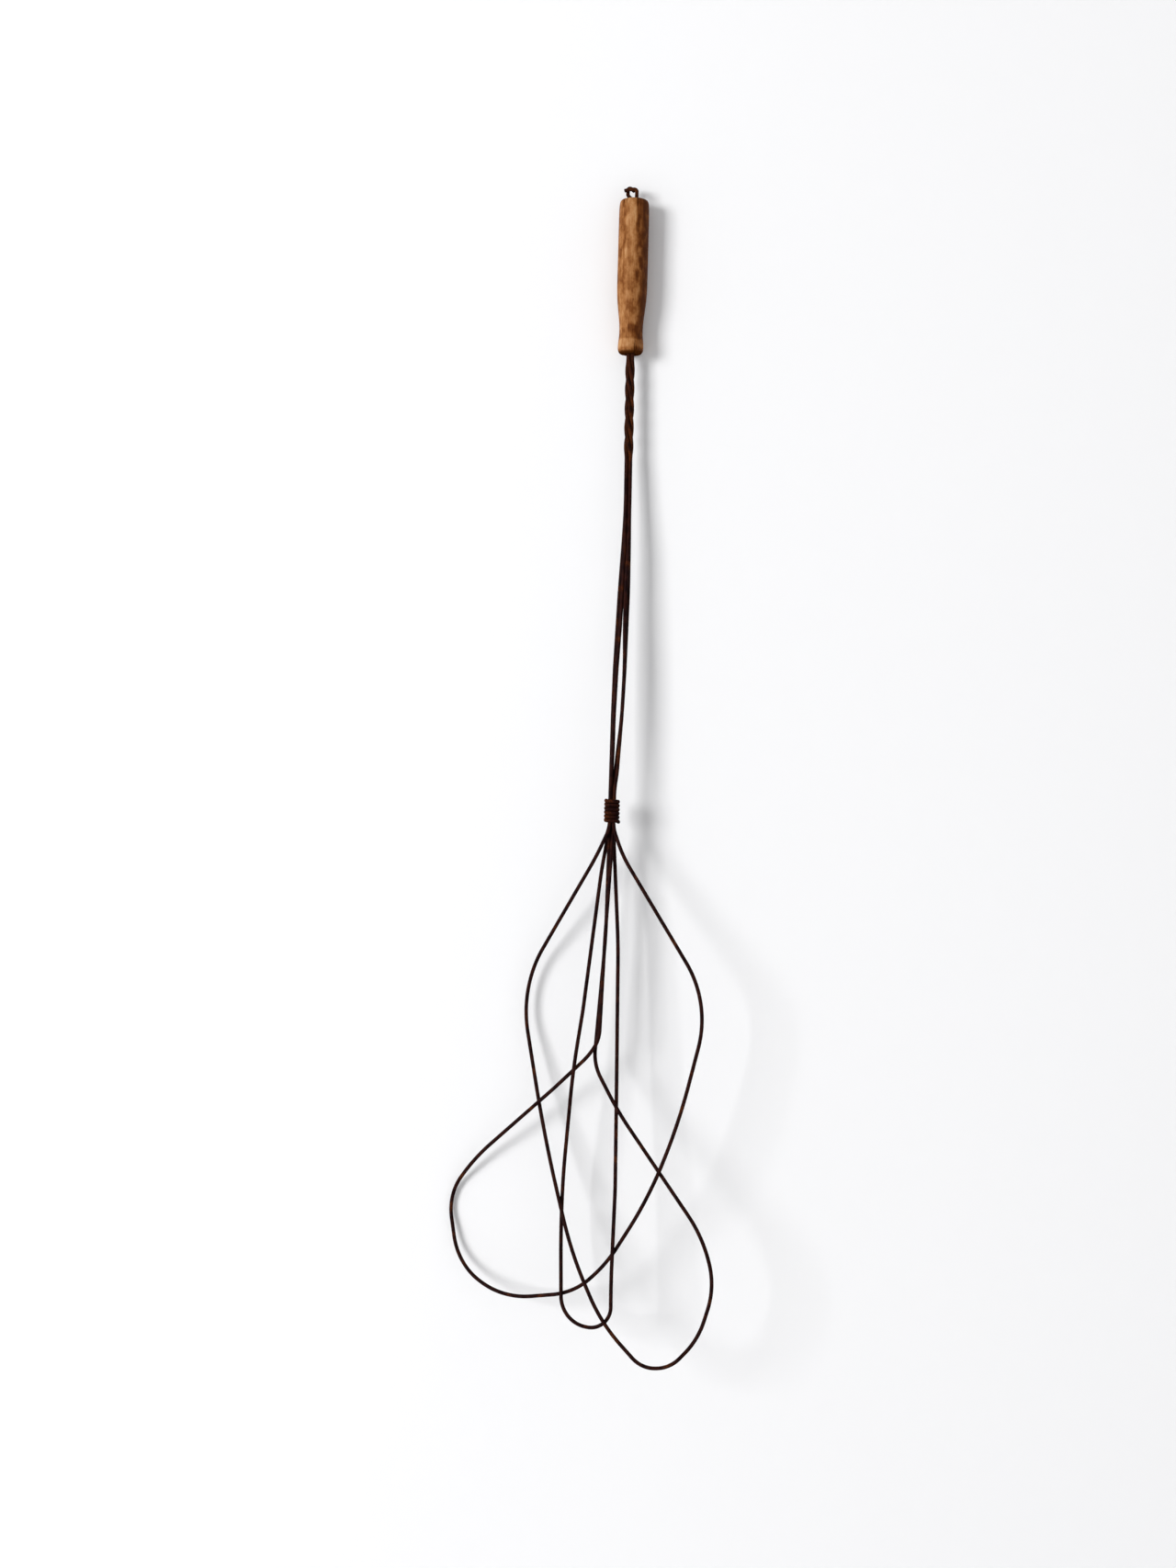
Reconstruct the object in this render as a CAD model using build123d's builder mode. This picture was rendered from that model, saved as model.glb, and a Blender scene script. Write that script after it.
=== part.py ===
from build123d import *

import os
from math import cos, pi, radians, sin, sqrt, tan

# Wire rug beater: a turned wood handle, a long shaft of four wires and a flat head of three wire loops.
#
# The row frame has its origin where a nail bears in the hanging eye. +Z runs up along the handle, +X runs
# to the right along the wall that the beater hangs on, and +Y points into that wall. All sizes are in mm.

# Wire, one gauge throughout
wire_diameter = 2.68
wire_radius = wire_diameter / 2
end_chamfer = 0.3

# Handle, measured down from its flat top
handle_x = 2.3
handle_top = -5.0
handle_length = 108.5
top_face_radius = 7.0
shoulder_radius = 10.35
shoulder_at = 4.2
grip_radius = 10.65
grip_start = 16.0
grip_end = 58.0
waist_radius = 8.3
waist_at = 92.5
bead_radius = 9.05
bead_at = 102.5
bottom_face_radius = 6.9
bore_radius = 3.45
bore_chamfer = 0.5

# Bundle of four strands in the bore, and its left-handed twist below the handle
bore_pitch = 2.88
blind_end_depth = 6.0
twist_top = -118.0
twist_pitch = 54.0
twist_turns = 1.25
twist_steps_per_turn = 8
twist_corner_radius = 2.23
twist_drift = (0.6, -1.5)

# Binding: a coil of the same wire round six wires, two across and three deep
binding_x = -2.2
binding_y = -14.3
binding_pitch = 2.84
binding_gap = 0.05
coil_pitch = 2.72
coil_top = -426.8
coil_turns = 5.5
coil_lean = 0.06
shaft_entry = -419.0
leg_exit = -446.5
centre_wire_end = -427.5

# Head: a plane turned towards the right and leaning out from the wall, with its origin in the binding
head_turn = 18.0
head_lean = 3.0
head_origin = (binding_x, binding_y, -443.0)

turn = radians(head_turn)
lean = radians(head_lean)
head_plane = Plane(
    origin=head_origin,
    x_dir=(cos(turn), -sin(turn), 0),
    z_dir=(-sin(turn) * cos(lean), -cos(turn) * cos(lean), sin(lean)),
)

os.makedirs("parts", exist_ok=True)


def head_point(across, down, out):
    """A point of the head: across to the right, down from the binding, out from the head's plane."""
    return head_plane.from_local_coords(Vector(across, -down, out))


def head_leg(corners):
    """Corners given as (across, down, out, bend radius), as pairs of a row-frame point and a radius."""
    return [(head_point(across, down, out), radius) for across, down, out, radius in corners]


def bend_radii(points, wanted):
    """The wanted bend radii, each cut down so that a bend takes at most 0.48 of its shorter run."""
    radii = []
    for before, corner, after, radius in zip(points, points[1:], points[2:], wanted):
        run_in = corner - before
        run_out = after - corner
        half_turn = radians(run_in.get_angle(run_out)) / 2
        room = 0.48 * min(run_in.length, run_out.length) / tan(half_turn)
        radii.append(min(radius, room))
    return radii


def bent_wire(label, route):
    """A wire of round section along straight runs joined by tangent arcs, with its cut ends deburred."""
    points = [point for point, radius in route]
    wanted = [radius for point, radius in route[1:-1]]
    with BuildPart() as bent:
        with BuildLine() as path:
            FilletPolyline(*points, radius=bend_radii(points, wanted))
        with BuildSketch(Plane(origin=path.wire() @ 0, z_dir=path.wire() % 0)):
            Circle(wire_radius)
        sweep()
        end_faces = bent.faces().filter_by(GeomType.PLANE)
        chamfer(end_faces.edges(), end_chamfer)
    bent.part.label = label
    print(label, "volume over section times length:",
          round(bent.part.volume / (pi * wire_radius**2 * path.wire().length), 4))
    return bent


# Positions of the four strands in the square bundle, as angles about its axis, seen from above
BACK_RIGHT, BACK_LEFT, FRONT_LEFT, FRONT_RIGHT = 45, 135, 225, 315
GENTLE = 400.0
HELIX_BEND = 60.0


def bore_point(place, height):
    """A strand's centre in the bore, for its place in the shaft below the twist."""
    angle = radians(place - 360 * twist_turns)
    reach = bore_pitch / sqrt(2)
    return Vector(handle_x + reach * cos(angle), reach * sin(angle), height)


def twisted_strand(place):
    """Corners of one strand through the twist, from the top down; the twist is left-handed."""
    steps = int(twist_turns * twist_steps_per_turn)
    corners = []
    for step in range(steps + 1):
        angle = radians(place - 360 * (twist_turns - step / twist_steps_per_turn))
        at_end = step in (0, steps)
        reach = bore_pitch / sqrt(2) if at_end else twist_corner_radius
        axis_x = handle_x + twist_drift[0] * step / steps
        axis_y = twist_drift[1] * step / steps
        height = twist_top - step * twist_pitch / twist_steps_per_turn
        corner = Vector(axis_x + reach * cos(angle), axis_y + reach * sin(angle), height)
        corners.append((corner, HELIX_BEND))
    return corners


def bundle_point(column, row, height):
    """A wire's centre in the binding: column -1 left or 1 right, row -1 front, 0 middle or 1 back."""
    return Vector(binding_x + column * binding_pitch / 2, binding_y + row * binding_pitch, height)


def strand(place, stations, column, row):
    """One shaft strand from the twist's top to below the binding, through its own free stations."""
    free = [(Vector(*station), GENTLE) for station in stations]
    held = [(bundle_point(column, row, shaft_entry), GENTLE), (bundle_point(column, row, leg_exit), 25.0)]
    return twisted_strand(place) + free + held


# Where each strand runs between the twist and the binding: the bundle opens, then closes again
front_left_stations = [
    (1.8, -5.6, -224), (1.9, -7.8, -250), (1.0, -9.4, -281), (0.3, -10.8, -303),
    (-1.4, -12.9, -335), (-2.5, -14.6, -369), (-2.6, -15.9, -394),
]
back_left_stations = [
    (1.8, -2.7, -224), (0.7, -5.2, -250), (-0.9, -7.3, -281), (-2.9, -10.4, -335),
    (-3.4, -12.0, -369), (-3.5, -13.0, -394),
]
front_right_stations = [
    (4.6, -5.8, -224), (4.4, -8.9, -250), (3.3, -11.2, -281), (3.2, -12.3, -303),
    (4.0, -13.4, -335), (2.9, -14.9, -369), (1.45, -15.9, -394), (0.7, -16.6, -408),
]
back_right_stations = [
    (4.6, -2.7, -224), (5.0, -5.6, -250), (5.2, -7.6, -281), (4.2, -10.4, -335),
    (3.0, -12.0, -369), (0.6, -13.0, -394), (-0.7, -13.7, -408),
]

# --- Handle: a turned grip with a waist and a bead, bored through for the wires ---
with BuildPart() as handle:
    with BuildSketch(Plane(origin=(handle_x, 0, handle_top), x_dir=(1, 0, 0), z_dir=(0, -1, 0))):
        with BuildLine():
            top = Line((0, 0), (top_face_radius, 0))
            shoulder = Spline(
                top @ 1, (9.6, -1.1), (shoulder_radius, -shoulder_at), tangents=[(1, 0), (0.08, -1)]
            )
            swell = Spline(
                shoulder @ 1, (grip_radius, -grip_start), tangents=[shoulder % 1, (0, -1)]
            )
            grip = Line(swell @ 1, (grip_radius, -grip_end))
            waist = Spline(
                grip @ 1, (10.05, -73), (9.0, -82), (waist_radius, -waist_at),
                tangents=[(0, -1), (0, -1)],
            )
            bead = Spline(
                waist @ 1, (bead_radius, -bead_at), (bottom_face_radius, -handle_length),
                tangents=[(0, -1), (-1, -0.35)],
            )
            Polyline(bead @ 1, (0, -handle_length), (0, 0))
        make_face()
    revolve(axis=Axis((handle_x, 0, 0), (0, 0, 1)))
    with Locations(Plane(origin=(handle_x, 0, handle_top), z_dir=(0, 0, 1))):
        Hole(bore_radius)
    bore_mouths = handle.edges().filter_by(GeomType.CIRCLE).filter_by(
        lambda edge: abs(edge.radius - bore_radius) < 0.01
    )
    chamfer(bore_mouths, bore_chamfer)
handle.part.label = "handle"
export_step(handle.part, "parts/handle.step")

# --- Left loop wire: hook, shaft, left shoulder, lower right lobe, middle leg, shaft ---
left_hook = [
    (Vector(2.4, 1.43, 1.2), 0),
    (Vector(-2.4, 1.43, 5.0), 1.7),
    (Vector(-2.4, 1.43, -1.6), 2.2),
    (bore_point(FRONT_LEFT, -4.6), 2.2),
]
left_loop = head_leg([
    (-9.0, 23.0, 2.6, 200),
    (-64.0, 117.0, -6.5, 81),
    (-40.0, 221.5, -3.4, 900),
    (-15.0, 298.0, 2.0, 410),
    (10.0, 342.5, 6.2, 145),
    (40.0, 369.5, 7.2, 29),
    (59.0, 368.0, 4.0, 26),
    (76.5, 348.0, -1.3, 119),
    (86.0, 312.0, -5.3, 68),
    (75.5, 279.0, -5.0, 100),
    (13.5, 198.5, 0.0, 200),
    (-6.0, 167.5, -2.0, 32),
    (-1.0, 79.0, -0.9, 400),
    (-1.3, 18.0, -0.4, 400),
])
left_down = strand(FRONT_LEFT, front_left_stations, -1, -1)
left_up = strand(BACK_LEFT, back_left_stations, -1, 0)
left_end = (bore_point(BACK_LEFT, handle_top - blind_end_depth), 0)
left_loop_wire = bent_wire(
    "left_loop_wire", left_hook + left_down + left_loop + left_up[::-1] + [left_end]
)
export_step(left_loop_wire.part, "parts/left_loop_wire.step")

# --- Right loop wire: shaft, right shoulder, lower left lobe, middle leg, shaft, hook ---
right_hook = [
    (bore_point(BACK_RIGHT, -4.6), 8.0),
    (Vector(3.8, -1.43, 2.3), 1.8),
    (Vector(-1.0, -1.43, 2.0), 8.0),
    (Vector(-5.0, -1.43, 0.9), 0),
]
right_loop = head_leg([
    (9.6, 22.5, 1.2, 100),
    (75.0, 120.5, -3.4, 75),
    (57.5, 203.0, 1.0, 650),
    (38.0, 256.0, 0.6, 350),
    (8.5, 304.0, -3.6, 104),
    (-14.0, 325.5, -2.8, 51),
    (-63.0, 333.0, 3.7, 64),
    (-100.0, 314.0, -2.4, 52),
    (-110.0, 266.0, -3.5, 47),
    (-90.5, 238.5, -0.1, 320),
    (-34.0, 186.0, 0.0, 57),
    (-9.0, 161.5, 0.9, 190),
    (-1.5, 150.0, 2.4, 32),
    (-0.5, 79.0, 2.2, 400),
    (1.5, 18.0, 1.7, 400),
])
right_start = (bore_point(FRONT_RIGHT, handle_top - blind_end_depth), 0)
right_down = strand(FRONT_RIGHT, front_right_stations, 1, -1)
right_up = strand(BACK_RIGHT, back_right_stations, 1, 0)
right_loop_wire = bent_wire(
    "right_loop_wire", [right_start] + right_down + right_loop + right_up[::-1] + right_hook
)
export_step(right_loop_wire.part, "parts/right_loop_wire.step")

# --- Centre loop wire: the narrow middle loop, its ends held in the binding ---
centre_loop = head_leg([
    (-6.3, 33.0, -1.5, 300),
    (-14.3, 130.0, 2.0, 300),
    (-18.9, 172.0, 4.4, 300),
    (-25.3, 247.0, -2.9, 400),
    (-25.3, 285.0, -3.5, 400),
    (-20.0, 344.5, 3.4, 22),
    (15.0, 349.0, 0.6, 19),
    (14.0, 313.0, 1.2, 400),
    (13.5, 252.5, -1.2, 180),
    (11.2, 197.5, -3.4, 400),
    (7.8, 84.0, -2.5, 400),
])
centre_loop_wire = bent_wire(
    "centre_loop_wire",
    [(bundle_point(-1, 1, centre_wire_end), 0), (bundle_point(-1, 1, leg_exit), 60)]
    + centre_loop
    + [(bundle_point(1, 1, leg_exit), 60), (bundle_point(1, 1, centre_wire_end), 0)],
)
export_step(centre_loop_wire.part, "parts/centre_loop_wire.step")

# --- Binding wire: a left-handed coil wrapped round the bundle, its last end sprung outwards ---
coil_half_width = binding_pitch / 2 + wire_diameter + binding_gap
coil_half_depth = binding_pitch + wire_diameter + binding_gap
coil_corner = wire_diameter + binding_gap
coil_sides = [
    (-coil_half_width, -coil_half_depth),
    (coil_half_width, -coil_half_depth),
    (coil_half_width, coil_half_depth),
    (-coil_half_width, coil_half_depth),
]
half_girth = 2 * (coil_half_width + coil_half_depth)


def coil_corners():
    """Corners of the coil from its top start on the left side down to its end on the right side."""
    travelled = coil_half_depth
    corners = []
    for index in range(int(coil_turns * 4)):
        x, y = coil_sides[index % 4]
        height = coil_top - coil_pitch * travelled / (2 * half_girth) + coil_lean * x
        corners.append((Vector(binding_x + x, binding_y + y, height), coil_corner))
        travelled += 2 * coil_half_width if index % 2 == 0 else 2 * coil_half_depth
    return corners


coil_start_height = coil_top - coil_lean * coil_half_width
coil_start = (Vector(binding_x - coil_half_width, binding_y, coil_start_height), 0)
coil_bottom = coil_top - coil_pitch * coil_turns + coil_lean * coil_half_width
coil_end = (Vector(binding_x + coil_half_width + 0.6, binding_y + 1.0, coil_bottom - 0.4), 0)
binding_wire = bent_wire("binding_wire", [coil_start] + coil_corners() + [coil_end])
export_step(binding_wire.part, "parts/binding_wire.step")
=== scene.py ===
import heapq
from math import cos, pi, sin

import bpy
import numpy as np
from mathutils import Matrix, Vector, kdtree, noise


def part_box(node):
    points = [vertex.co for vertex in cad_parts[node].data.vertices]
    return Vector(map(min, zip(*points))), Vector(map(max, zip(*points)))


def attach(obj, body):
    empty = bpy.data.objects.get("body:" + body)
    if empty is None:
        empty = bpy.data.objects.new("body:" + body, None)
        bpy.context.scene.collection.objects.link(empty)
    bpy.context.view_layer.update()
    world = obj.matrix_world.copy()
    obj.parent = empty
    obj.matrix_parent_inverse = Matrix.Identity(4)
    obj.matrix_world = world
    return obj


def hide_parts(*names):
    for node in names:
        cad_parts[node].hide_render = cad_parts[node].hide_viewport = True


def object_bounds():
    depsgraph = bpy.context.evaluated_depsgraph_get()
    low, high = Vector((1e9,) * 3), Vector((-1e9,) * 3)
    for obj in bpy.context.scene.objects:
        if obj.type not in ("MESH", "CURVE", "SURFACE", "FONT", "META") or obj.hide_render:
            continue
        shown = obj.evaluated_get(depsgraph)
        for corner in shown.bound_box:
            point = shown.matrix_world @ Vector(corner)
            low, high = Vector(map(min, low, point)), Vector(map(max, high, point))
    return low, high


# Looks of a wire rug beater that hangs on a white wall. Everything is in metres, in the CAD frame:
# origin in the hanging eye, +Z up the handle, +X right along the wall, +Y into the wall.
MM = 0.001

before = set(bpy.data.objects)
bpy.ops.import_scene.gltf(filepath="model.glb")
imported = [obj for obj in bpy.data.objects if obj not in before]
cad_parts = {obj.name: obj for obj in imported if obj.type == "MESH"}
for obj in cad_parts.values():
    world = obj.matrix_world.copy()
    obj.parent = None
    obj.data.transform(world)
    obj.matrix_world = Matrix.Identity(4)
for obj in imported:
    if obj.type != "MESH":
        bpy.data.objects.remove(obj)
cad_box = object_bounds()
scene = bpy.context.scene

# Wires: their meshes have a ring of points at each step, and cut ends that are rounded over
WIRES = ("left_loop_wire", "right_loop_wire", "centre_loop_wire", "binding_wire")
WIRE_RADIUS = 1.34 * MM
CUT_LENGTH = 0.3 * MM
RING_STEP = 0.5 * MM
RING_POINTS = 18

# Wear of the wires: rust eats in no deeper than this, and rust, dirt and painted crevice shade gather
# this near to a neighbour.
# Gaps between neighbours are rusted shut up to CLOSED_GAP, and not at all from OPEN_GAP on.
DEEPEST_RUST = 0.09 * MM
CREVICE_REACH = 1.9 * MM
CLOSED_GAP = 0.28 * MM
OPEN_GAP = 0.55 * MM
BRIDGE_OVERLAP = 0.03 * MM
RUST_PATCH = 11 * MM
RUST_SCALE = 1.2 * MM
RUST_PIT = 0.9 * MM
RUST_SWING = 30 * MM

# The twist, from its foot up, and the binding are rustier than the other stretches
TWIST_FOOT = -195 * MM
TWIST_FADE = 25 * MM
TWIST_RUST = 0.55
BINDING_RUST = 0.25

# Handle: the steps of its mesh, the height of its bead, pale with wear and a painted highlight, and its
# wear
OUTLINE_STEP = 0.36 * MM
BORE_STEP = 1.6 * MM
HANDLE_POINTS = 176
BEAD_HEIGHT = -106.5 * MM
DENT_COUNT = 46
WAVE_DEPTH = 0.07 * MM
GRAIN_DEPTH = 0.022 * MM
CRACK_DEPTH = 0.5 * MM

# Wear with a painted highlight on the front of the handle: (across from its axis, height) points in
# millimetres. Stains, and a painted shade down the right side. Each stain has its own width in
# millimetres.
# Painted highlight with wear: a pale streak down the front, left of the middle
WEAR_AND_HIGHLIGHT_WIDTH = 5.0 * MM
WEAR_AND_HIGHLIGHT_PATH = [
    (-3.3, -6), (-1.2, -17), (-3.3, -23), (-0.8, -36),
    (-5.3, -45), (-3.0, -62), (-6.8, -80), (-5.9, -92),
]
STAIN_AND_SHADE_PATHS = [
    # Painted shade: this wide dark path runs down the right side, away from the light
    ([(9.0, -6), (10.0, -60), (8.0, -108)], 7.5),
    ([(3.7, -8), (3.8, -20), (2.8, -27)], 2.6),
    ([(6.8, -14), (7.2, -19)], 2.5),
    ([(4.0, -33), (4.6, -38)], 2.4),
    ([(5.6, -49), (6.4, -53)], 2.6),
    ([(3.4, -58), (3.5, -63)], 1.8),
    ([(5.1, -74), (6.2, -92)], 2.4),
    ([(-1.5, -96), (4.0, -97)], 2.0),
]

# Stage, light and camera
WALL_GAP = 0.5 * MM
FLOOR_HEIGHT = -1.3
STAGE_SPREAD = 4.0
WINDOW_DIRECTION = (-0.70, -0.70, 0.12)
WINDOW_DISTANCE = 6.5
WINDOW_SIZE = 2.1
WINDOW_WATTS = 348
SKY_LIGHT = 0.51
SKY_SEEN = 0.85
CAMERA_PLACE = (-0.0193, -1.5301, -0.4160)
CAMERA_ROLL = 0.027
LENS_MM = 50
SENSOR_MM = 36


# --- Materials: short calls for building node trees ---
def add_node(tree, kind, inputs, **settings):
    """A new node with its settings, and its inputs, which are values or other nodes' outputs."""
    node = tree.nodes.new(kind)
    for name, value in settings.items():
        setattr(node, name, value)
    for key, value in inputs.items():
        if isinstance(value, bpy.types.NodeSocket):
            tree.links.new(value, node.inputs[key])
        else:
            node.inputs[key].default_value = value
    return node


def new_material(name):
    """A material, its node tree and its main shader."""
    material = bpy.data.materials.new(name)
    material.use_nodes = True
    return material, material.node_tree, material.node_tree.nodes["Principled BSDF"]


def colour(red, green, blue):
    """An opaque colour, in linear light."""
    return (red, green, blue, 1.0)


def calculate(tree, operation, first, second):
    """One step of arithmetic on two numbers."""
    return add_node(tree, "ShaderNodeMath", {0: first, 1: second}, operation=operation).outputs[0]


def blend_colours(tree, share, first, second):
    """The first colour where the share is 0, and the second where it is 1."""
    return add_node(
        tree, "ShaderNodeMix", {0: share, 6: first, 7: second}, data_type="RGBA"
    ).outputs[2]


def fade(tree, value, low, high, to_low=0.0, to_high=1.0):
    """A smooth change from to_low, where the value is low or less, to to_high, where it is high."""
    limits = {"Value": value, "From Min": low, "From Max": high, "To Min": to_low, "To Max": to_high}
    return add_node(tree, "ShaderNodeMapRange", limits, interpolation_type="SMOOTHSTEP").outputs[0]


def attribute(tree, name, output="Fac"):
    """A number or vector that the mesh carries for each of its vertices."""
    return add_node(tree, "ShaderNodeAttribute", {}, attribute_name=name).outputs[output]


def scaled_place(tree, place, sizes, seed):
    """The place divided by a detail's sizes in x, y and z, shifted by the seed."""
    factors = [1 / size for size in sizes]
    shift = [3.7 * seed, -5.1 * seed, 2.3 * seed]
    return add_node(
        tree, "ShaderNodeVectorMath", {0: place, 1: factors, 2: shift}, operation="MULTIPLY_ADD"
    ).outputs[0]


def noise_pattern(tree, place, sizes, seed, detail=4.0):
    """Noise from 0 to 1 whose largest details have those sizes in x, y and z."""
    scaled = scaled_place(tree, place, sizes, seed)
    inputs = {"Vector": scaled, "Scale": 1.0, "Detail": detail, "Roughness": 0.58}
    return add_node(tree, "ShaderNodeTexNoise", inputs).outputs[0]


def cell_pattern(tree, place, sizes, seed):
    """Distance from the middles of scattered cells of those sizes, 0 at a middle."""
    scaled = scaled_place(tree, place, sizes, seed)
    return add_node(tree, "ShaderNodeTexVoronoi", {"Vector": scaled, "Scale": 1.0}).outputs["Distance"]


def set_bump(tree, shader, height, distance):
    """Relief on the shader's surface, where a height of 1 stands up by that distance."""
    bump = add_node(tree, "ShaderNodeBump", {"Strength": 1.0, "Distance": distance, "Height": height})
    tree.links.new(bump.outputs[0], shader.inputs["Normal"])


# --- Materials of the part ---
def swing(tree, value, amount):
    """How far a noise value is from its middle of 0.5, times the amount."""
    return calculate(tree, "MULTIPLY", calculate(tree, "SUBTRACT", value, 0.5), amount)


def add_up(tree, first, *others):
    """The sum of several numbers."""
    total = first
    for other in others:
        total = calculate(tree, "ADD", total, other)
    return total


def colour_scale(tree, value, stops):
    """A colour picked by the value from stops, which are (value, colour) pairs from 0 to 1."""
    ramp = add_node(tree, "ShaderNodeValToRGB", {0: value})
    elements = ramp.color_ramp.elements
    while len(elements) < len(stops):
        elements.new(0.5)
    for element, (position, shade) in zip(elements, stops):
        element.position = position
        element.color = shade
    return ramp.outputs[0]


def wood_material():
    """Old turned wood: streaked grain, pores, light patches of wear with a painted highlight, dark
    stains with a painted shade, and grime with painted shade.
    """
    material, tree, shader = new_material("old_wood")
    place = add_node(tree, "ShaderNodeTexCoord", {}).outputs["Object"]
    streaks = noise_pattern(tree, place, (0.6 * MM, 0.6 * MM, 11 * MM), 1)
    bands = noise_pattern(tree, place, (2.4 * MM, 2.4 * MM, 34 * MM), 2, 3.0)
    mottle = noise_pattern(tree, place, (4.2 * MM, 4.2 * MM, 7.5 * MM), 3, 3.0)
    pores = cell_pattern(tree, place, (0.55 * MM, 0.55 * MM, 3.2 * MM), 4)
    specks = noise_pattern(tree, place, (0.9 * MM, 0.9 * MM, 1.3 * MM), 5, 2.0)

    pore_depth = fade(tree, pores, 0.10, 0.26, 1.0, 0.0)
    dots = fade(tree, specks, 0.64, 0.74)
    # Painted highlight with wear lightens the front's streak and the bead.
    wear_and_highlight = calculate(tree, "MULTIPLY", attribute(tree, "wear_and_highlight"), 0.18)
    # Stains, and a painted shade down the right side, darken the wood.
    stain_and_side_shade = calculate(tree, "MULTIPLY", attribute(tree, "stain_and_side_shade"), -0.40)
    lightness = add_up(
        tree, 0.46, swing(tree, mottle, 1.6), swing(tree, streaks, 0.50), swing(tree, bands, 0.8),
        wear_and_highlight, stain_and_side_shade, calculate(tree, "MULTIPLY", dots, -0.35),
        calculate(tree, "MULTIPLY", pore_depth, -0.14),
    )
    wood = colour_scale(tree, lightness, [
        (0.00, colour(0.080, 0.020, 0.003)),
        (0.28, colour(0.155, 0.048, 0.010)),
        (0.52, colour(0.250, 0.097, 0.028)),
        (0.78, colour(0.345, 0.156, 0.056)),
        (1.00, colour(0.420, 0.218, 0.092)),
    ])
    # Painted shade with grime: a near-black brown darkens the lower end, the bore, its mouths and the
    # cracks.
    grime_and_painted_shade = attribute(tree, "grime_and_painted_shade")
    wood = blend_colours(tree, grime_and_painted_shade, wood, colour(0.050, 0.0130, 0.0022))

    tree.links.new(wood, shader.inputs["Base Color"])
    tree.links.new(fade(tree, lightness, 0.3, 0.9, 0.66, 0.50), shader.inputs["Roughness"])
    tree.links.new(fade(tree, grime_and_painted_shade, 0.0, 0.8, 0.06, 0.0), shader.inputs["Specular IOR Level"])
    relief = calculate(tree, "SUBTRACT", add_up(tree, streaks, swing(tree, mottle, 1.5)), pore_depth)
    set_bump(tree, shader, relief, 0.10 * MM)
    return material


def wire_material():
    """Old iron wire: a dark brown-black skin, drawing lines, reddish rust, and dirt with painted shade
    darkening the crevices.
    """
    material, tree, shader = new_material("rusted_iron_wire")
    place = add_node(tree, "ShaderNodeTexCoord", {}).outputs["Object"]
    straight = attribute(tree, "straight", "Vector")
    lines = noise_pattern(tree, straight, (0.35 * MM, 0.35 * MM, 9 * MM), 1, 3.0)
    scale = noise_pattern(tree, place, (0.55 * MM, 0.55 * MM, 0.55 * MM), 2)
    blotches = noise_pattern(tree, place, (3.5 * MM, 3.5 * MM, 6.0 * MM), 3)

    skin = blend_colours(tree, fade(tree, blotches, 0.38, 0.62),
                         colour(0.0075, 0.0020, 0.0022), colour(0.0230, 0.0060, 0.0042))
    skin = blend_colours(tree, fade(tree, lines, 0.55, 0.75, 0.0, 0.30), skin,
                         colour(0.048, 0.026, 0.024))
    rust_colour = blend_colours(tree, fade(tree, scale, 0.38, 0.62),
                                colour(0.036, 0.0085, 0.0022), colour(0.095, 0.0250, 0.0055))
    rust = add_up(tree, attribute(tree, "rust"), swing(tree, scale, 1.2), swing(tree, blotches, 1.0))
    rust_share = fade(tree, rust, 0.38, 1.10, 0.0, 0.85)
    surface = blend_colours(tree, rust_share, skin, rust_colour)
    # Painted shade with dirt: a near-black colour darkens the wire where a neighbour lies close.
    crevice_dirt_and_shade = add_up(tree, attribute(tree, "crevice"), swing(tree, scale, 0.6))
    surface = blend_colours(tree, fade(tree, crevice_dirt_and_shade, 0.50, 1.00, 0.0, 0.95), surface,
                            colour(0.0045, 0.0012, 0.0008))

    tree.links.new(surface, shader.inputs["Base Color"])
    tree.links.new(fade(tree, rust, 0.1, 0.7, 0.45, 0.75), shader.inputs["Roughness"])
    shader.inputs["Specular IOR Level"].default_value = 0.02
    relief = add_up(tree, calculate(tree, "MULTIPLY", scale, rust_share), swing(tree, lines, 0.35))
    set_bump(tree, shader, relief, 0.09 * MM)
    return material


# --- Stage, light and camera ---
def matte_material(name, shade):
    """Plain paint that is seen only from its front."""
    material, tree, shader = new_material(name)
    shader.inputs["Base Color"].default_value = shade
    shader.inputs["Roughness"].default_value = 0.9
    shader.inputs["Specular IOR Level"].default_value = 0.0
    back = add_node(tree, "ShaderNodeNewGeometry", {}).outputs["Backfacing"]
    clear = add_node(tree, "ShaderNodeBsdfTransparent", {}).outputs[0]
    both = add_node(tree, "ShaderNodeMixShader", {0: back, 1: shader.outputs[0], 2: clear}).outputs[0]
    tree.links.new(both, tree.nodes["Material Output"].inputs["Surface"])
    return material


def make_sheet(name, corners, material):
    """A flat backdrop with four corners, which isn't part of the object."""
    mesh = bpy.data.meshes.new(name)
    mesh.from_pydata(corners, [], [(0, 1, 2, 3)])
    mesh.materials.append(material)
    sheet = bpy.data.objects.new(name, mesh)
    scene.collection.objects.link(sheet)


def make_stage():
    """The white wall that the beater hangs on, and a pale floor below it."""
    wall = cad_box[1].y + WALL_GAP
    front = -STAGE_SPREAD
    left, right = -STAGE_SPREAD, STAGE_SPREAD
    top = STAGE_SPREAD
    floor = FLOOR_HEIGHT
    foot = [(left, wall, floor), (right, wall, floor)]
    make_sheet("wall", foot + [(right, wall, top), (left, wall, top)],
               matte_material("white_wall", colour(0.85, 0.85, 0.86)))
    make_sheet("floor", [(left, front, floor), (right, front, floor)] + foot[::-1],
               matte_material("pale_floor", colour(0.75, 0.75, 0.75)))


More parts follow.
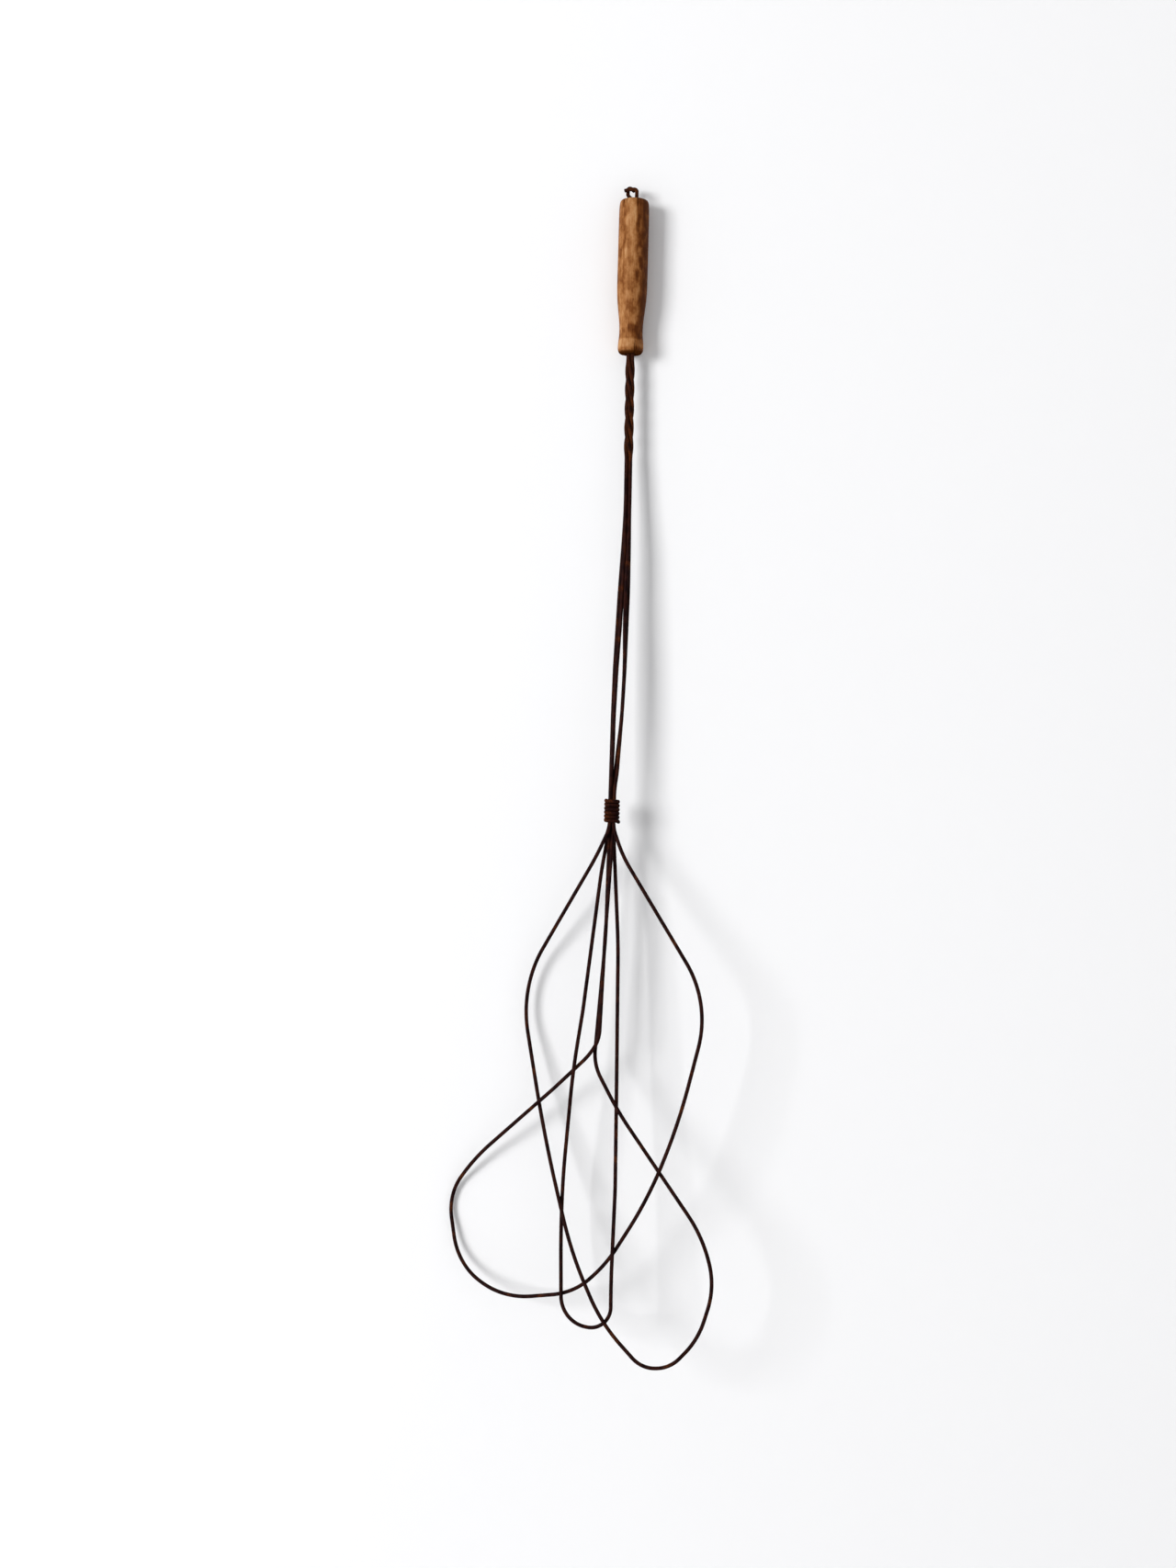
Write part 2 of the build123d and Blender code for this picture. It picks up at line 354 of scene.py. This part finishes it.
def make_lights():
    """One large soft light from the upper left in front, and even white light from all round."""
    middle = Vector((0, 0, (cad_box[0].z + cad_box[1].z) / 2))
    direction = Vector(WINDOW_DIRECTION).normalized()
    data = bpy.data.lights.new("window", "AREA")
    data.size = WINDOW_SIZE
    data.energy = WINDOW_WATTS
    window = bpy.data.objects.new("window", data)
    window.location = middle + direction * WINDOW_DISTANCE
    window.rotation_mode = "QUATERNION"
    window.rotation_quaternion = direction.to_track_quat("Z", "Y")
    window.visible_camera = False
    scene.collection.objects.link(window)

    world = bpy.data.worlds.new("studio")
    world.use_nodes = True
    tree = world.node_tree
    tree.nodes.clear()
    seen = add_node(tree, "ShaderNodeLightPath", {}).outputs["Is Camera Ray"]
    white = colour(1, 1, 1)
    around = add_node(tree, "ShaderNodeBackground", {"Color": white, "Strength": SKY_LIGHT}).outputs[0]
    behind = add_node(tree, "ShaderNodeBackground", {"Color": white, "Strength": SKY_SEEN}).outputs[0]
    both = add_node(tree, "ShaderNodeMixShader", {0: seen, 1: around, 2: behind}).outputs[0]
    add_node(tree, "ShaderNodeOutputWorld", {"Surface": both})
    scene.world = world


def make_camera():
    """A level look straight at the wall, rolled a little to the beater's lean."""
    data = bpy.data.cameras.new("camera")
    data.lens = LENS_MM
    data.sensor_width = SENSOR_MM
    camera = bpy.data.objects.new("camera", data)
    scene.collection.objects.link(camera)
    right = Vector((1, 0, CAMERA_ROLL)).normalized()
    back = Vector((0, -1, 0))
    up = back.cross(right)
    turn = Matrix((right, up, back)).transposed().to_4x4()
    camera.matrix_world = Matrix.Translation(CAMERA_PLACE) @ turn
    scene.camera = camera


# --- Reading the CAD nodes ---
def node_surface(node):
    """Places and normals of a CAD node's vertices, and its edges, as arrays."""
    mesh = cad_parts[node].data
    places = np.empty(len(mesh.vertices) * 3, np.float32)
    mesh.vertices.foreach_get("co", places)
    corner_vertex = np.empty(len(mesh.loops), np.int32)
    mesh.loops.foreach_get("vertex_index", corner_vertex)
    corner_normal = np.empty(len(mesh.loops) * 3, np.float32)
    mesh.corner_normals.foreach_get("vector", corner_normal)
    normals = np.zeros((len(mesh.vertices), 3))
    np.add.at(normals, corner_vertex, corner_normal.reshape(-1, 3))
    normals /= np.linalg.norm(normals, axis=1)[:, None]
    edges = np.empty(len(mesh.edges) * 2, np.int32)
    mesh.edges.foreach_get("vertices", edges)
    return places.reshape(-1, 3).astype(float), normals, edges.reshape(-1, 2)


def distances(links, start):
    """How far along the links each linked place is from the start."""
    far = {start: 0.0}
    done = set()
    queue = [(0.0, start)]
    while queue:
        travelled, here = heapq.heappop(queue)
        if here in done:
            continue
        done.add(here)
        for there, step in links[here]:
            if travelled + step < far.get(there, np.inf):
                far[there] = travelled + step
                heapq.heappush(queue, (travelled + step, there))
    return far


def places_along(places, centres, edges):
    """Each vertex's distance from one end of a bent wire, measured along the wire's centre."""
    grid = np.round(places / (0.001 * MM)).astype(np.int64)
    _, spot = np.unique(grid, axis=0, return_inverse=True)
    spot = spot.ravel()
    links = [[] for _ in range(spot.max() + 1)]
    steps = np.linalg.norm(centres[edges[:, 0]] - centres[edges[:, 1]], axis=1)
    for (first, second), step in zip(spot[edges], steps):
        links[first].append((second, step))
        links[second].append((first, step))
    from_anywhere = distances(links, 0)
    end = max(from_anywhere, key=from_anywhere.get)
    far = distances(links, end)
    return np.array([far[s] for s in spot])


def wire_rings(node):
    """Centres and directions of the round sections in a bent wire's CAD mesh, from end to end."""
    places, normals, edges = node_surface(node)
    centres = places - WIRE_RADIUS * normals
    along = places_along(places, centres, edges)
    tree = kdtree.KDTree(len(centres))
    for index, centre in enumerate(centres):
        tree.insert(centre, index)
    tree.balance()
    close = 0.03 * MM
    fewest = 8
    shared = np.array([len(tree.find_range(centre, close)) >= fewest for centre in centres])
    order = np.argsort(along)
    order = order[shared[order]]
    groups = np.split(order, np.nonzero(np.diff(along[order]) > 0.1 * MM)[0] + 1)
    points, directions = [], []
    for group in groups:
        middle = np.median(centres[group], axis=0)
        ring = group[np.linalg.norm(centres[group] - middle, axis=1) < close]
        if len(ring) < fewest:
            continue
        spread = places[ring] - places[ring].mean(axis=0)
        sizes, axes = np.linalg.eigh(spread.T @ spread)
        if sizes[0] < 1e-4 * sizes[2]:
            points.append(centres[ring].mean(axis=0))
            directions.append(axes[:, 0])
    points, directions = np.array(points), np.array(directions)
    onward = np.gradient(points, axis=0)
    directions *= np.sign((directions * onward).sum(axis=1))[:, None]
    return points, directions


def smooth_line(points, directions, step):
    """Points a step apart or less on the smooth curve with those points and directions."""
    line = []
    for start, end, leaving, arriving in zip(points, points[1:], directions, directions[1:]):
        length = np.linalg.norm(end - start)
        count = max(1, int(np.ceil(length / step)))
        t = (np.arange(count) / count)[:, None]
        line.append(
            (2 * t**3 - 3 * t**2 + 1) * start + (t**3 - 2 * t**2 + t) * length * leaving
            + (3 * t**2 - 2 * t**3) * end + (t**3 - t**2) * length * arriving
        )
    return np.vstack(line + [points[-1:]])


def lengths_along(line):
    """Distance travelled along a line, at each of its points."""
    steps = np.linalg.norm(np.diff(line, axis=0), axis=1)
    return np.concatenate([[0], np.cumsum(steps)])


# --- Mesh building ---
def make_piece(name, vertices, faces, material, node):
    """A smooth-shaded mesh that stands for a CAD node and rides on the part's one body."""
    mesh = bpy.data.meshes.new(name)
    mesh.from_pydata([tuple(v) for v in vertices], [], faces)
    mesh.validate()
    mesh.shade_smooth()
    mesh.materials.append(material)
    piece = bpy.data.objects.new(name, mesh)
    scene.collection.objects.link(piece)
    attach(piece, "root")
    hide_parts(node)
    return piece


def ring_quads(rings, around):
    """Quads between each ring of vertices and the next one."""
    quads = []
    for ring in range(rings - 1):
        for k in range(around):
            here = ring * around + k
            beside = ring * around + (k + 1) % around
            quads.append((here, beside, beside + around, here + around))
    return quads


def carry_number(piece, name, values):
    """Gives each vertex a number that the material reads."""
    layer = piece.data.attributes.new(name, "FLOAT", "POINT")
    layer.data.foreach_set("value", np.asarray(values, np.float32))


def carry_vector(piece, name, values):
    """Gives each vertex a vector that the material reads."""
    layer = piece.data.attributes.new(name, "FLOAT_VECTOR", "POINT")
    layer.data.foreach_set("vector", np.asarray(values, np.float32).ravel())


def rough_noise(points, sizes, seed, octaves=3):
    """Noise from about -1 to 1 at each point, with details of those sizes in x, y and z."""
    shift = Vector((7.3, 3.1, -5.7)) * seed
    places = np.asarray(points) / np.asarray(sizes)
    return np.array([noise.fractal(Vector(p) + shift, 1.0, 2.0, octaves) for p in places])


def smooth_step(values, low, high):
    """0 where a value is low or less, 1 where it is high or more, smooth between."""
    share = np.clip((values - low) / (high - low), 0, 1)
    return share * share * (3 - 2 * share)


# --- Wires ---
def cross_directions(tangents):
    """Two directions across a line at each point, carried along it without twisting."""
    side = np.cross(tangents[0], (0.3, 0.9, 0.1))
    sides = []
    for tangent in tangents:
        side = side - tangent * (side @ tangent)
        side = side / np.linalg.norm(side)
        sides.append(side)
    sides = np.array(sides)
    return sides, np.cross(tangents, sides)


def line_tangents(line):
    """Unit directions along a line at each of its points."""
    tangents = np.gradient(line, axis=0)
    return tangents / np.linalg.norm(tangents, axis=1)[:, None]


def wire_tube(line):
    """Rings of vertices round a line, with rounded-over cut ends: places, outward directions, and
    the same places on the wire before it was bent."""
    tangents = line_tangents(line)
    sides, others = cross_directions(tangents)
    along = lengths_along(line)
    angles = np.arange(RING_POINTS) * 2 * pi / RING_POINTS
    across = np.stack([np.cos(angles), np.sin(angles)], 1)
    first, last = 0, len(line) - 1
    cut = [(0.6, 0.35), (1.0, 1.0)]
    rings = [(first, -CUT_LENGTH * far, CUT_LENGTH * in_by) for far, in_by in reversed(cut)]
    rings += [(index, 0.0, 0.0) for index in range(len(line))]
    rings += [(last, CUT_LENGTH * far, CUT_LENGTH * in_by) for far, in_by in cut]
    places, outwards, straight = [], [], []
    for index, onward, inward in rings:
        outward = across[:, :1] * sides[index] + across[:, 1:] * others[index]
        places.append(line[index] + tangents[index] * onward + outward * (WIRE_RADIUS - inward))
        outwards.append(outward)
        heights = np.full((RING_POINTS, 1), along[index] + onward)
        straight.append(np.hstack([across * WIRE_RADIUS, heights]))
    return np.vstack(places), np.vstack(outwards), np.vstack(straight)


def neighbour_gaps(places, along, lines, wire):
    """Each place's distance to the surface of another run of wire beside it, up to the crevice reach."""
    spacing = 3
    samples = [(other, index) for other in lines for index in range(0, len(lines[other]), spacing)]
    tree = kdtree.KDTree(len(samples))
    for number, (other, index) in enumerate(samples):
        tree.insert(lines[other][index], number)
    tree.balance()
    reach = {other: lengths_along(line) for other, line in lines.items()}
    tangents = {other: line_tangents(line) for other, line in lines.items()}
    own_run = 9 * MM
    beside = 0.55 * spacing * RING_STEP
    farthest = WIRE_RADIUS + CREVICE_REACH
    gaps = []
    for place, here in zip(places, along):
        nearest = farthest
        for spot, number, far in tree.find_range(place, farthest + beside):
            other, index = samples[number]
            if other == wire and abs(reach[other][index] - here) < own_run:
                continue
            onward = (place - spot) @ tangents[other][index]
            if abs(onward) < beside:
                nearest = min(nearest, np.sqrt(max(far * far - onward * onward, 0)))
        gaps.append(max(nearest - WIRE_RADIUS, 0))
    return np.array(gaps)


def make_wire(wire, lines, material, seed):
    """A rusted copy of a bent wire's CAD node: pitted inwards, and grown together with its neighbours,
    except for the binding, whose turns keep their grooves."""
    line = lines[wire]
    places, outwards, straight = wire_tube(line)
    gaps = neighbour_gaps(places, straight[:, 2], lines, wire)
    crevice = 1 - smooth_step(gaps, 0, CREVICE_REACH)
    patches = np.clip(rough_noise(places, RUST_PATCH, seed, 2) - 0.08, 0, 1)
    scale = rough_noise(places, RUST_SCALE, seed + 1, 3)
    pits = np.clip(rough_noise(places, RUST_PIT, seed + 2, 2) - 0.25, 0, 1)
    swings = rough_noise(places, RUST_SWING, seed + 3, 1)
    damp = TWIST_RUST * smooth_step(places[:, 2], TWIST_FOOT - TWIST_FADE, TWIST_FOOT + TWIST_FADE)
    closed = 1 - smooth_step(gaps, CLOSED_GAP, OPEN_GAP)
    if wire == "binding_wire":
        damp = BINDING_RUST
        closed = 0.0
    rust = np.clip(patches * 1.4 + pits * 0.5 + crevice * (0.45 + 0.4 * swings) + damp, 0, 1)
    depth = 0.010 * (1 - scale) + rust * 0.040 * (1 - 0.7 * scale) + 0.10 * pits * (0.4 + rust)
    depth = np.minimum(depth * MM, DEEPEST_RUST)
    growth = closed * (0.5 * gaps + BRIDGE_OVERLAP) - (1 - closed) * depth
    places = places + outwards * growth[:, None]
    rings = len(places) // RING_POINTS
    faces = ring_quads(rings, RING_POINTS)
    faces.append(tuple(reversed(range(RING_POINTS))))
    faces.append(tuple(range((rings - 1) * RING_POINTS, rings * RING_POINTS)))
    piece = make_piece(wire + "_aged", places, faces, material, wire)
    carry_number(piece, "rust", rust)
    carry_number(piece, "crevice", crevice)
    carry_vector(piece, "straight", straight)


# --- Handle ---
def along_outline(points, step):
    """The points of an outline resampled at even steps along it."""
    reach = lengths_along(points)
    wanted = np.linspace(0, reach[-1], max(2, round(reach[-1] / step)))
    return np.stack([np.interp(wanted, reach, points[:, k]) for k in (0, 1)], 1)


def handle_outline():
    """Radius and height pairs round the wood's section, down the outside and up the bore, how many
    of them are on the outside, and the handle's axis."""
    places, _, _ = node_surface("handle")
    low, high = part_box("handle")
    axis = (low + high) / 2
    radii = np.hypot(places[:, 0] - axis.x, places[:, 1] - axis.y)
    heights = places[:, 2]
    level = 0.02 * MM
    bore = radii.min()
    bore_top = heights[radii < bore + level].max()
    bore_bottom = heights[radii < bore + level].min()
    mouth = radii[heights > high.z - level].min()
    beyond = radii > mouth + level
    rows = np.unique(np.round(heights[beyond] / level))[::-1]
    row_of = np.round(heights[beyond] / level)
    widest = [(radii[beyond][row_of == row].max(), row * level) for row in rows]
    outside = np.array([(mouth, high.z)] + widest + [(mouth, low.z)])
    outside = along_outline(outside, OUTLINE_STEP)
    inside = np.array([(mouth, low.z), (bore, bore_bottom), (bore, bore_top), (mouth, high.z)])
    inside = along_outline(inside, BORE_STEP)[1:-1]
    return np.vstack([outside, inside]), len(outside), axis


def near_path(across, heights, path, width):
    """1 on a path of (across, height) points, 0 a width away and more, longer in height than across."""
    stretch = np.array([1.0, 0.45])
    here = np.stack([across, heights], 1) * stretch
    corners = np.array(path) * MM * stretch
    nearest = np.full(len(across), np.inf)
    for start, end in zip(corners, corners[1:]):
        run = end - start
        share = np.clip(((here - start) @ run) / (run @ run), 0, 1)
        gap = np.linalg.norm(here - start - share[:, None] * run, axis=1)
        nearest = np.minimum(nearest, gap)
    return 1 - smooth_step(nearest, 0.25 * width, width)


def dents(places, low, high, axis, draw):
    """Depth of small round dents scattered over the handle by the random draw."""
    depth = np.zeros(len(places))
    for _ in range(DENT_COUNT):
        angle = draw.uniform(0, 2 * pi)
        height = draw.uniform(low.z, high.z)
        reach = draw.uniform(0.8, 2.4) * MM
        deepest = draw.uniform(0.04, 0.20) * MM
        radius = high.x - axis.x
        middle = np.array([axis.x + radius * cos(angle), axis.y + radius * sin(angle), height])
        gap = np.linalg.norm((places - middle) * (1, 1, draw.uniform(0.45, 1.0)), axis=1)
        depth = np.maximum(depth, deepest * (1 - smooth_step(gap, 0.2 * reach, 1.3 * reach)))
    return depth


def end_cracks(angles, radii, heights, low, high, draw):
    """How open the drying cracks are, 0 to 1, which run in from both ends of the handle."""
    open_share = np.zeros(len(angles))
    for end, count in ((high.z, 6), (low.z, 5)):
        for _ in range(count):
            start = draw.uniform(0, 2 * pi)
            length = draw.uniform(4, 13) * MM
            wander = draw.uniform(-0.04, 0.04)
            inward = np.abs(heights - end) / length
            turned = angles - start - wander * np.sin(inward * 5)
            aside = np.abs((turned + pi) % (2 * pi) - pi) * radii
            share = np.clip(1 - inward, 0, 1) * (1 - smooth_step(aside, 0.10 * MM, 0.45 * MM))
            open_share = np.maximum(open_share, share)
    return open_share


def make_handle(material):
    """The turned grip with its wear: raised grain, dents and cracked ends, all cut inwards."""
    outline, outside_count, axis = handle_outline()
    low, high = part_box("handle")
    onward = np.roll(outline, -1, axis=0) - np.roll(outline, 1, axis=0)
    onward /= np.linalg.norm(onward, axis=1)[:, None]
    normals = np.stack([-onward[:, 1], onward[:, 0]], 1)
    turn = np.arange(HANDLE_POINTS) * 2 * pi / HANDLE_POINTS
    angles = np.tile(turn, len(outline))
    radii, heights = np.repeat(outline, HANDLE_POINTS, axis=0).T
    out_by, up_by = np.repeat(normals, HANDLE_POINTS, axis=0).T
    outward = np.stack([out_by * np.cos(angles), out_by * np.sin(angles), up_by], 1)
    across = radii * np.cos(angles)
    away = radii * np.sin(angles)
    places = np.stack([axis.x + across, axis.y + away, heights], 1)
    outside = np.repeat(np.arange(len(outline)) < outside_count, HANDLE_POINTS)

    draw = np.random.default_rng(11)
    cracks = end_cracks(angles, radii, heights, low, high, draw)
    hollow = dents(places, low, high, axis, draw)
    waves = rough_noise(places, (12 * MM, 12 * MM, 22 * MM), 51, 1)
    grain = rough_noise(places, (0.6 * MM, 0.6 * MM, 9 * MM), 52, 2)
    depth = WAVE_DEPTH * (1 + waves) + GRAIN_DEPTH * (1 + grain) + hollow + CRACK_DEPTH * cracks
    places = places - outward * (np.maximum(depth, 0) * outside)[:, None]

    faces = [quad[::-1] for quad in ring_quads(len(outline), HANDLE_POINTS)]
    last = (len(outline) - 1) * HANDLE_POINTS
    for k in range(HANDLE_POINTS):
        beside = (k + 1) % HANDLE_POINTS
        faces.append((k, beside, last + beside, last + k))
    piece = make_piece("handle_turned", places, faces, material, "handle")

    front = smooth_step(-away, -2 * MM, 3 * MM)
    # Painted highlight with wear: a pale streak on the front, and a pale bead.
    bead_wear_and_highlight = smooth_step(heights, BEAD_HEIGHT - 4.5 * MM, BEAD_HEIGHT - 1.5 * MM)
    bead_wear_and_highlight *= 1 - smooth_step(heights, BEAD_HEIGHT + 1.5 * MM, BEAD_HEIGHT + 4 * MM)
    wear_and_highlight = near_path(across, heights, WEAR_AND_HIGHLIGHT_PATH, WEAR_AND_HIGHLIGHT_WIDTH) * front
    wear_and_highlight = np.maximum(wear_and_highlight, 2.2 * bead_wear_and_highlight)
    # Stains on the front, and a painted shade down the right side from the first path.
    stain_and_side_shade = np.zeros(len(places))
    for path, width in STAIN_AND_SHADE_PATHS:
        stain_and_side_shade = np.maximum(stain_and_side_shade, near_path(across, heights, path, width * MM))
    stain_and_side_shade *= front
    behind = np.clip(0.5 + 1.1 * rough_noise(places, (7 * MM, 7 * MM, 16 * MM), 53, 2), 0, 1)
    stain_and_side_shade = np.maximum(stain_and_side_shade, 0.45 * behind * (1 - front))
    carry_number(piece, "wear_and_highlight", wear_and_highlight)
    carry_number(piece, "stain_and_side_shade", stain_and_side_shade)
    # Grime with painted shade: darker at the lower end, round the bore's mouths, in the cracks and
    # inside the bore.
    lower_end_grime_and_shade = 1 - smooth_step(heights, low.z + 0.6 * MM, low.z + 2.6 * MM)
    mouths = 1 - smooth_step(radii, 3.6 * MM, 5.0 * MM)
    grime_and_painted_shade = np.maximum.reduce([lower_end_grime_and_shade, mouths, np.clip(1.6 * cracks, 0, 1), 1.0 - outside])
    carry_number(piece, "grime_and_painted_shade", grime_and_painted_shade)


# --- The scene ---
lines = {wire: smooth_line(*wire_rings(wire), RING_STEP) for wire in WIRES}
iron = wire_material()
for number, wire in enumerate(WIRES):
    make_wire(wire, lines, iron, 10 * number)
make_handle(wood_material())
make_stage()
make_lights()
make_camera()
scene.view_settings.view_transform = "Standard"
